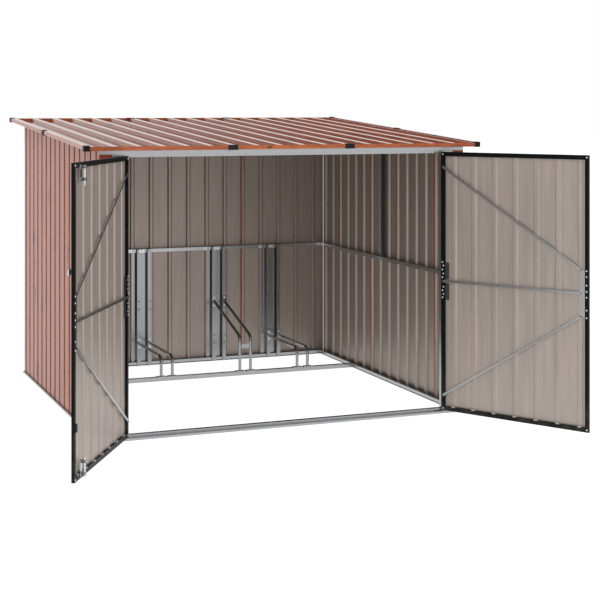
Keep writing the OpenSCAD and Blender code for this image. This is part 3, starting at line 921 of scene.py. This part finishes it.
@dataclass
class Racks:
    """The four wheel racks and the bolts that hold them to their posts."""

    finishes: Finishes
    places: tuple[float, ...] = (-682.0, -272.0, 272.0, 682.0)
    heights: tuple[float, ...] = (420.0, 158.0, 420.0, 158.0)
    tube_half: float = 37.5
    bolt_half: float = 27.0
    plate: float = 4.0

    def build(self) -> None:
        """Dress the racks and add their bolts."""
        for node in ("outer_left_rack", "inner_left_rack", "inner_right_rack", "outer_right_rack"):
            dress_node(node, self.finishes.rack_zinc, 0.0)
        bm = bmesh.new()
        for x, z in zip(self.places, self.heights):
            for tube in (-self.tube_half, self.tube_half):
                for step in (-self.bolt_half, self.bolt_half):
                    spot = (x + tube, SIZES.rack_face_y - self.plate, z + step)
                    add_bolt(bm, spot, (0, -1, 0), 6.0, 4.0, washer=8.5)
        make_piece(bm, "RackBolts", "shelter", [self.finishes.bright])


@dataclass
class Door:
    """One door leaf: black frame, ribbed panel, braces, fittings and bolts."""

    finishes: Finishes
    side: Side
    rib_foot: float = 35.0
    rib_crest: float = 22.0
    rib_depth: float = 6.0
    rib_first: float = 60.0
    corner_in: float = 11.0
    corner_up: float = 13.0
    strip_heads: tuple[float, ...] = (-131, -90, -20, 12, 45, 92, 124)
    stile_heads: tuple[float, ...] = (-95, -75, -54, -33, 22, 44, 67, 90, 110)
    brace_drop: float = 86.0
    brace_spread: float = 127.0
    brace_in: float = 50.0
    knob_in: float = 40.0
    knob_z: float = 1012.0
    rib_end_half: float = 11.0

    @property
    def word(self) -> str:
        """The side's name in the node names."""
        return self.side.name.lower()

    def build(self) -> None:
        """Build the leaf and dress its fittings."""
        self._panel()
        self._frame()
        self._bolts()
        self._catch()
        self._rib_ends()
        dress_node(f"{self.word}_door_braces", self.finishes.zinc)
        dress_node(f"{self.word}_door_fittings", self.finishes.dark, 0.0)

    def _name(self, what: str) -> str:
        """Name of a piece on this leaf."""
        return f"{self.side.name.title()}Door{what}"

    def _panel(self) -> None:
        """Build the ribbed panel, its ribs standing towards the inside."""
        run = SIZES.leaf_width - 2 * SIZES.stile
        line = [Vector((SIZES.stile + p.x, SIZES.face_y + p.y + SIZES.sheet / 2))
                for p in rib_line(run, self.rib_first, self.rib_foot, self.rib_crest, self.rib_depth)]
        bm = bmesh.new()
        Strip(line, Run.ALONG_Z, SIZES.leaf_bottom + SIZES.rail, SIZES.leaf_top - SIZES.rail, SIZES.sheet, 2.0,
              place=leaf_matrix(self.side), left_skin=Skin.INNER).add_to(bm)
        make_piece(bm, self._name("Panel"), f"{self.word}_door",
                   [self.finishes.wood_upright, self.finishes.door_taupe, self.finishes.cut],
                   (f"{self.word}_door_panel",))

    def _frame(self) -> None:
        """Build the frame from four mitred bars."""
        bm = bmesh.new()
        w, low, high = SIZES.leaf_width, SIZES.leaf_bottom, SIZES.leaf_top
        y0, y1 = SIZES.face_y, SIZES.face_y + SIZES.leaf_thick
        stile, rail = SIZES.stile, SIZES.rail
        place = leaf_matrix(self.side)
        slope = Vector((rail, 0.0, -stile))
        rise = Vector((rail, 0.0, stile))
        bars = (
            ((0, y0, low), (stile, y1, high), ((0, low, slope), (0, high, rise))),
            ((w - stile, y0, low), (w, y1, high), ((w, low, -rise), (w, high, -slope))),
            ((0, y0, low), (w, y1, low + rail), ((0, low, -slope), (w, low, rise))),
            ((0, y0, high - rail), (w, y1, high), ((0, high, -rise), (w, high, slope))),
        )
        for corner_low, corner_high, cuts in bars:
            bar = bmesh.new()
            add_box(bar, corner_low, corner_high, FLAT)
            for x, z, waste in cuts:
                self._mitre(bar, Vector((x, y0, z)), waste)
            bmesh.ops.bevel(bar, geom=bar.edges[:], offset=0.7, affect="EDGES", segments=2, profile=0.5, material=-1)
            bmesh.ops.transform(bar, matrix=place, verts=bar.verts)
            part = bpy.data.meshes.new("bar")
            bar.to_mesh(part)
            bar.free()
            bm.from_mesh(part)
            bpy.data.meshes.remove(part)
        make_piece(bm, self._name("Frame"), f"{self.word}_door", [self.finishes.black],
                   (f"{self.word}_door_frame",))

    @staticmethod
    def _mitre(bar: bmesh.types.BMesh, corner: Vector, waste: Vector) -> None:
        """Cut a bar's end through a corner and close the cut.

        Args:
            bar: The bar that is cut.
            corner: A point on the cut.
            waste: Direction of the side that is dropped.
        """
        geom = [*bar.verts, *bar.edges, *bar.faces]
        cut = bmesh.ops.bisect_plane(bar, geom=geom, plane_co=corner, plane_no=waste, clear_outer=True)
        edges = [e for e in cut["geom_cut"] if isinstance(e, bmesh.types.BMEdge)]
        bmesh.ops.contextual_create(bar, geom=edges)

    def _bolts(self) -> None:
        """Add the heads on the leaf's inner face, and the knob's rim and rose."""
        bm = bmesh.new()
        place = leaf_matrix(self.side)
        face = SIZES.face_y + SIZES.leaf_thick
        inward = place.to_3x3() @ Vector((0, 1, 0))
        w, low, high = SIZES.leaf_width, SIZES.leaf_bottom, SIZES.leaf_top
        middle = (low + high) / 2
        heads = [(s, z) for z in (low + self.corner_up, high - self.corner_up)
                 for s in (self.corner_in, w - self.corner_in)]
        heads += [(w - 12, middle + z) for z in self.strip_heads]
        heads += [(9.0 + 6.0 * (k % 2), middle + z) for k, z in enumerate(self.stile_heads)]
        for s, z in heads:
            add_bolt(bm, place @ Vector((s, face, z)), inward, 5.0, 3.0)
        for near, far, depth, out in ((17.6, 17.6, 6.0, 23.0), (19.6, 18.6, 1.2, 4.4)):
            disc = bmesh.ops.create_cone(bm, cap_ends=True, segments=32, radius1=near, radius2=far,
                                         depth=depth)["verts"]
            spot = Matrix.Translation((w - self.knob_in, SIZES.face_y - out, self.knob_z))
            turn = Matrix.Rotation(math.radians(90), 4, "X")
            bmesh.ops.transform(bm, matrix=place @ (spot @ turn), verts=disc)
        make_piece(bm, self._name("Bolts"), f"{self.word}_door", [self.finishes.bright])

    def _catch(self) -> None:
        """Add the dark heads at the braces' ends and, on the left leaf, the catch."""
        bm = bmesh.new()
        place = leaf_matrix(self.side)
        face = SIZES.face_y + SIZES.leaf_thick
        inward = place.to_3x3() @ Vector((0, 1, 0))
        w, low, high = SIZES.leaf_width, SIZES.leaf_bottom, SIZES.leaf_top
        middle = (low + high) / 2
        for z in (high - self.brace_drop, middle, low + self.brace_drop):
            add_bolt(bm, place @ Vector((self.corner_in, face + 2.6, z)), inward, 4.5, 3.0)
        for z in (middle - self.brace_spread, middle, middle + self.brace_spread):
            add_bolt(bm, place @ Vector((w - self.brace_in, SIZES.face_y + 10.5, z)), inward, 4.5, 3.0)
        if self.side is Side.LEFT:
            add_box(bm, (w - 20, face, 262), (w - 3, face + 9, 302), place, 1.5)
        make_piece(bm, self._name("Catch"), f"{self.word}_door", [self.finishes.plastic])

    def _rib_ends(self) -> None:
        """Add the ribs' lower ends where they lap over the bottom rail."""
        bm = bmesh.new()
        place = leaf_matrix(self.side)
        face = SIZES.face_y + SIZES.leaf_thick
        top = SIZES.leaf_bottom + SIZES.rail
        count = int((SIZES.leaf_width - 2 * SIZES.stile - self.rib_first) // SIZES.rib_pitch) + 1
        for k in range(count):
            s = SIZES.stile + self.rib_first + k * SIZES.rib_pitch
            add_box(bm, (s - self.rib_end_half, face - 8.4, top - 3), (s + self.rib_end_half, face + 0.5, top + 6),
                    place, 0.3)
        make_piece(bm, self._name("RibEnds"), f"{self.word}_door", [self.finishes.door_taupe])


@dataclass
class DropBolts:
    """The two drop bolts on the left leaf and their guides."""

    finishes: Finishes

    def build(self) -> None:
        """Dress the bolts and guides."""
        dress_node("left_bolt_guides", self.finishes.zinc)
        for node in ("top_drop_bolt", "bottom_drop_bolt"):
            dress_node(node, self.finishes.bright, 0.0)


@dataclass
class Studio:
    """Pale floor, soft white light and the camera."""

    camera_at: tuple[float, float, float] = (-2.8627, -8.5298, 1.8)
    yaw: float = 21.416
    lens: float = 85.34
    sink: float = -0.3239
    floor_half: float = 60.0
    floor_drop: float = 0.001
    floor_grey: float = 0.25
    floor_glow: float = 1.0
    back_light: float = 0.25
    dim_rise: tuple[float, float] = (0.23, 0.36)
    dim_depth: tuple[float, float] = (0.1, 0.5)

    def build(self) -> None:
        """Set up the stage."""
        scene = bpy.context.scene
        scene.view_settings.view_transform = "Standard"
        world = bpy.data.worlds.new("SoftWhite")
        world.use_nodes = True
        back = next(n for n in world.node_tree.nodes if n.type == "BACKGROUND")
        back.inputs["Color"].default_value = (1.0, 1.0, 1.0, 1.0)
        back.inputs["Strength"].default_value = 1.0
        self._shade(world)
        scene.world = world
        self._floor()
        data = bpy.data.cameras.new("Camera")
        data.lens = self.lens
        data.sensor_width = 36.0
        data.shift_y = self.sink
        data.clip_end = 200.0
        camera = bpy.data.objects.new("Camera", data)
        camera.location = self.camera_at
        camera.rotation_euler = (math.radians(90), 0.0, math.radians(-self.yaw))
        scene.collection.objects.link(camera)
        scene.camera = camera

    def _shade(self, world: bpy.types.World) -> None:
        """Dim the light from behind the shelter, above the horizon, so that the ribs' sides stay dark.

        Args:
            world: The world whose background is dimmed.
        """
        t = Tree(world.node_tree)
        toward = t.add("ShaderNodeTexCoord", out="Generated")
        parts = t.tree.nodes.new("ShaderNodeSeparateXYZ")
        t.tree.links.new(toward, parts.inputs[0])
        dim = t.maths("MULTIPLY", t.scale(parts.outputs[2], *self.dim_rise), t.scale(parts.outputs[1], *self.dim_depth))
        back = next(n for n in t.tree.nodes if n.type == "BACKGROUND")
        t.tree.links.new(t.scale(dim, 0.0, 1.0, 1.0, self.back_light), back.inputs["Strength"])

    def _floor(self) -> None:
        """Lay a white floor that stays bright under the roof."""
        bm = bmesh.new()
        bmesh.ops.create_grid(bm, x_segments=1, y_segments=1, size=self.floor_half)
        mesh = bpy.data.meshes.new("Floor")
        bm.to_mesh(mesh)
        bm.free()
        floor = bpy.data.objects.new("Floor", mesh)
        floor.location.z = -self.floor_drop
        bpy.context.scene.collection.objects.link(floor)
        material = bpy.data.materials.new("FloorWhite")
        material.use_nodes = True
        shader = next(n for n in material.node_tree.nodes if n.type == "BSDF_PRINCIPLED")
        shader.inputs["Base Color"].default_value = (*(self.floor_grey,) * 3, 1.0)
        shader.inputs["Roughness"].default_value = 1.0
        shader.inputs["Specular IOR Level"].default_value = 0.0
        shader.inputs["Emission Color"].default_value = (1.0, 1.0, 1.0, 1.0)
        shader.inputs["Emission Strength"].default_value = self.floor_glow
        mesh.materials.append(material)


def main() -> None:
    """Build the shelter's looks, one sub-assembly after the other."""
    finishes = Finishes(SharedEffects())
    SteelFrame(finishes).build()
    Walls(finishes).build()
    Roof(finishes).build()
    Racks(finishes).build()
    for side in Side:
        Door(finishes, side).build()
    DropBolts(finishes).build()
    Studio().build()


if __name__ == "__main__":
    main()
